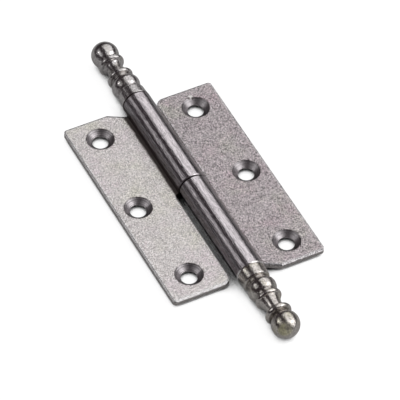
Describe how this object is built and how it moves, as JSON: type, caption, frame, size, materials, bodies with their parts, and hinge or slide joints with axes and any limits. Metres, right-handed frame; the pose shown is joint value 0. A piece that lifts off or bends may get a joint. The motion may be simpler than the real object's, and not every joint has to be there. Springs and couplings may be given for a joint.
{
  "type": "paumelle hinge",
  "caption": "Lift-off paumelle hinge: rolled steel leaves with countersunk screw holes, turning on a pin between turned finials with ball ends.",
  "frame": {"origin": "on the pin's axis, midway between the two knuckles", "axes": "+Y along the pin from the frame leaf's knuckle to the door leaf's knuckle, +Z towards the side that the screws enter from, leaves open flat at 180 degrees along X"},
  "size_m": [0.0528, 0.1362, 0.0096],
  "materials": {
    "leaf_steel": "tumbled satin nickel on the leaves, polished on the knuckles",
    "pin_steel": "plain turned steel",
    "finial_steel": "polished nickel with slight tarnish"
  },
  "bodies": {
    "lower": {"frame_leaf": "leaf_steel", "bottom_finial": "finial_steel"},
    "pin": {"hinge_pin": "pin_steel"},
    "upper": {"door_leaf": "leaf_steel", "top_finial": "finial_steel"}
  },
  "joints": [
    {"name": "swing", "type": "hinge", "parent": "lower", "child": "pin", "pos_m": [0, 0, 0], "axis": [0, 1, 0], "range_deg": [-110, 180]},
    {"name": "lift_off", "type": "slide", "parent": "pin", "child": "upper", "axis": [0, 1, 0], "range_m": [0, 0.032]}
  ]
}
